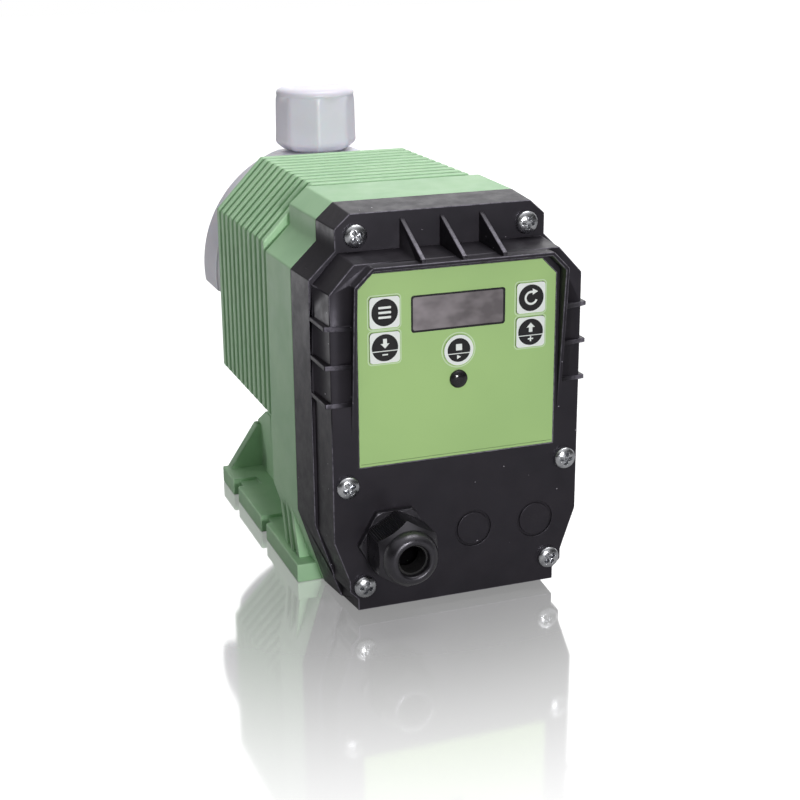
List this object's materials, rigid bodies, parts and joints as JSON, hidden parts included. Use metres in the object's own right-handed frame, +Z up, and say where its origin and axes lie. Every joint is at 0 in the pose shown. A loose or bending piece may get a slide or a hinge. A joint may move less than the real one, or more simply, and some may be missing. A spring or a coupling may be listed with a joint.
{
  "type": "diaphragm metering pump",
  "caption": "Solenoid diaphragm metering pump with a ribbed sage green housing, black operating panel cover, white dosing head and capped valves",
  "frame": {"origin": "centre of the foot's base face, on the surface the pump stands on", "axes": "+Z up from the foot; the operating panel faces -Y and the dosing head stands at +Y; +X is to the right of someone reading the panel"},
  "size_m": [0.1194, 0.2349, 0.1999],
  "materials": {
    "housing": "moulded sage green plastic with a fine texture",
    "cover": "near black plastic with a satin texture",
    "overlay": "printed plastic film",
    "display": "smoked clear window",
    "display_module": "display module",
    "key": "printed key with a black disc",
    "lens": "dark tinted lens",
    "board": "fibreglass board",
    "switch": "moulded switch",
    "terminal": "moulded terminal row",
    "component": "wrapped components",
    "gland": "moulded nylon",
    "seal": "rubber",
    "screw": "stainless steel",
    "magnet_steel": "turned soft iron",
    "bobbin": "moulded plastic",
    "copper": "enamelled winding wire",
    "brass": "drawn tube",
    "rod": "stainless steel",
    "backing": "moulded plastic",
    "diaphragm": "faced rubber",
    "head": "white plastic",
    "ball": "ground ceramic ball",
    "cap": "white plastic"
  },
  "bodies": {
    "body": {"housing": "housing", "front_cover": "cover", "cover_gasket": "seal", "cover_screws": "screw", "panel_overlay": "overlay", "display_window": "display", "lcd_module": "display_module", "status_lens": "lens", "control_board": "board", "board_screws": "screw", "key_switches": "switch", "status_lamp": "lens", "terminal_block": "terminal", "board_parts": "component", "gland_body": "gland", "gland_nut": "gland", "gland_seal": "seal", "gland_locknut": "gland", "solenoid_pot": "magnet_steel", "coil_bobbin": "bobbin", "coil_winding": "copper", "guide_tube": "brass", "pole_core": "magnet_steel", "rod_bush": "bobbin", "end_stop": "bobbin", "return_spring": "rod", "solenoid_screws": "screw", "backing_plate": "backing", "diaphragm": "diaphragm", "pump_head": "head", "head_screws": "screw", "discharge_seat": "head", "discharge_cage": "head", "discharge_seal": "seal", "suction_seat": "head", "suction_cage": "head", "suction_seal": "seal", "discharge_cap": "cap", "suction_cap": "cap"},
    "plunger": {"armature": "magnet_steel", "push_rod": "rod", "diaphragm_plate": "rod"},
    "discharge_valve": {"discharge_ball": "ball"},
    "suction_valve": {"suction_ball": "ball"},
    "button_set": {"key_set": "key"},
    "button_down": {"key_down": "key"},
    "button_mode": {"key_mode": "key"},
    "button_up": {"key_up": "key"},
    "button_start": {"key_start": "key"}
  },
  "joints": [
    {"name": "stroke", "type": "slide", "parent": "body", "child": "plunger", "axis": [0, 1, 0], "range_m": [0, 0.00125], "stiffness_N_per_m": 4000, "springref_m": -0.0015, "deforming": ["return_spring", "diaphragm"]},
    {"name": "discharge_lift", "type": "slide", "parent": "body", "child": "discharge_valve", "axis": [0, 0, 1], "range_m": [0, 0.0015]},
    {"name": "suction_lift", "type": "slide", "parent": "body", "child": "suction_valve", "axis": [0, 0, 1], "range_m": [0, 0.0015]},
    {"name": "key_set_press", "type": "slide", "parent": "body", "child": "button_set", "axis": [0, 1, 0], "range_m": [0, 0.0004], "stiffness_N_per_m": 1500, "springref_m": -0.0004},
    {"name": "key_down_press", "type": "slide", "parent": "body", "child": "button_down", "axis": [0, 1, 0], "range_m": [0, 0.0004], "stiffness_N_per_m": 1500, "springref_m": -0.0004},
    {"name": "key_mode_press", "type": "slide", "parent": "body", "child": "button_mode", "axis": [0, 1, 0], "range_m": [0, 0.0004], "stiffness_N_per_m": 1500, "springref_m": -0.0004},
    {"name": "key_up_press", "type": "slide", "parent": "body", "child": "button_up", "axis": [0, 1, 0], "range_m": [0, 0.0004], "stiffness_N_per_m": 1500, "springref_m": -0.0004},
    {"name": "key_start_press", "type": "slide", "parent": "body", "child": "button_start", "axis": [0, 1, 0], "range_m": [0, 0.0004], "stiffness_N_per_m": 1500, "springref_m": -0.0004}
  ]
}
